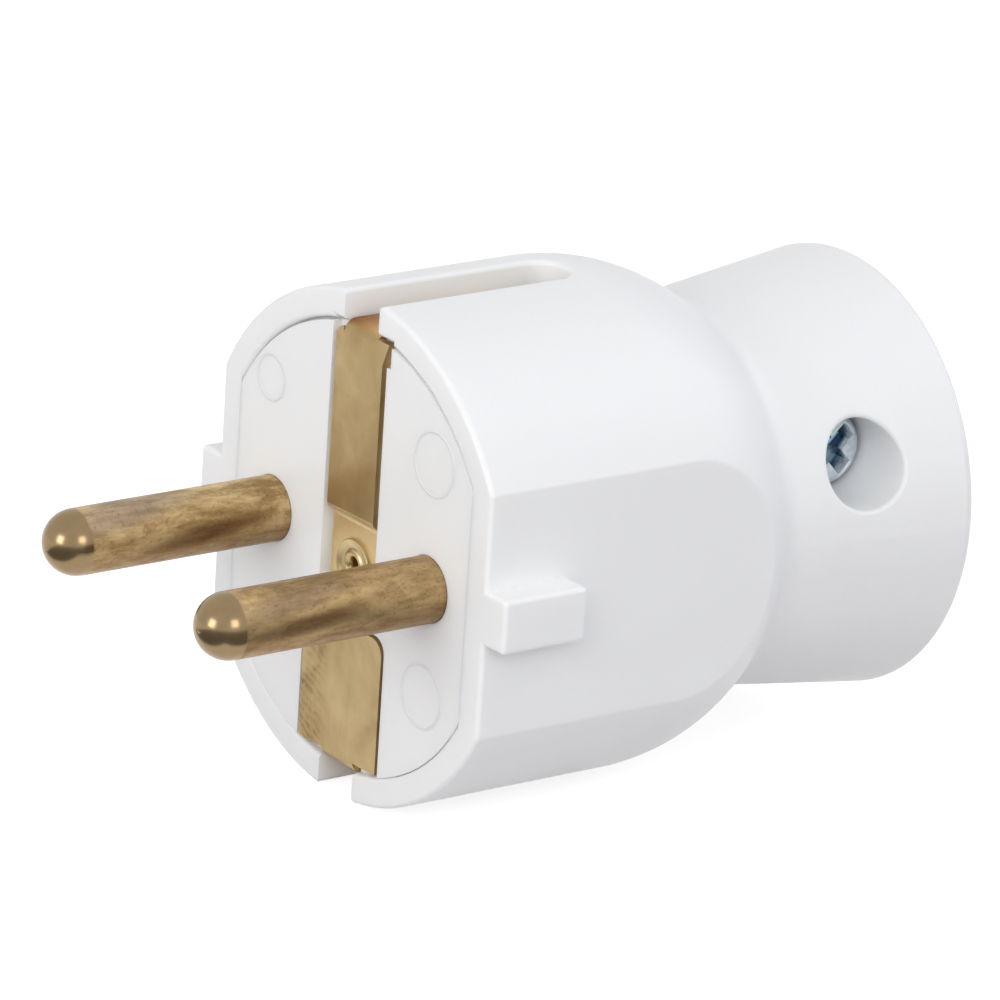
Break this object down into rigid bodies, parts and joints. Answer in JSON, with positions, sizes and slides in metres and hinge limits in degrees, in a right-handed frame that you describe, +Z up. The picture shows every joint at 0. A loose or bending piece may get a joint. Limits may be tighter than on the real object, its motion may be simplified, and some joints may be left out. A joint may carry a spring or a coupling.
{
  "type": "type f plug",
  "caption": "Straight rewirable mains plug with round brass pins, a folded earth strap lying in slots in its sides, guide lugs on flats and a flared collar round the cord's inlet.",
  "frame": {"origin": "middle of the front face, half way between the pins", "axes": "+X across the pins, +Y from the front face towards the cord's end, +Z up, towards one of the earth slots"},
  "size_m": [0.0374, 0.0625, 0.037],
  "materials": {
    "housing_plastic": "smooth moulded white",
    "carrier_plastic": "smooth moulded white",
    "pin_brass": "turned brass with brown tarnish",
    "strap_brass": "rolled brass sheet",
    "plated_steel": "bluish zinc plating"
  },
  "bodies": {
    "root": {"housing": "housing_plastic", "pin_carrier": "carrier_plastic", "cord_clamp": "carrier_plastic", "left_pin": "pin_brass", "right_pin": "pin_brass", "earth_strap": "strap_brass", "earth_rivet": "strap_brass", "earth_terminal": "strap_brass", "earth_clamp_washer": "strap_brass", "housing_screw": "plated_steel", "left_terminal_screw": "plated_steel", "right_terminal_screw": "plated_steel", "earth_terminal_screw": "plated_steel", "upper_clamp_screw": "plated_steel", "lower_clamp_screw": "plated_steel"}
  },
  "joints": []
}
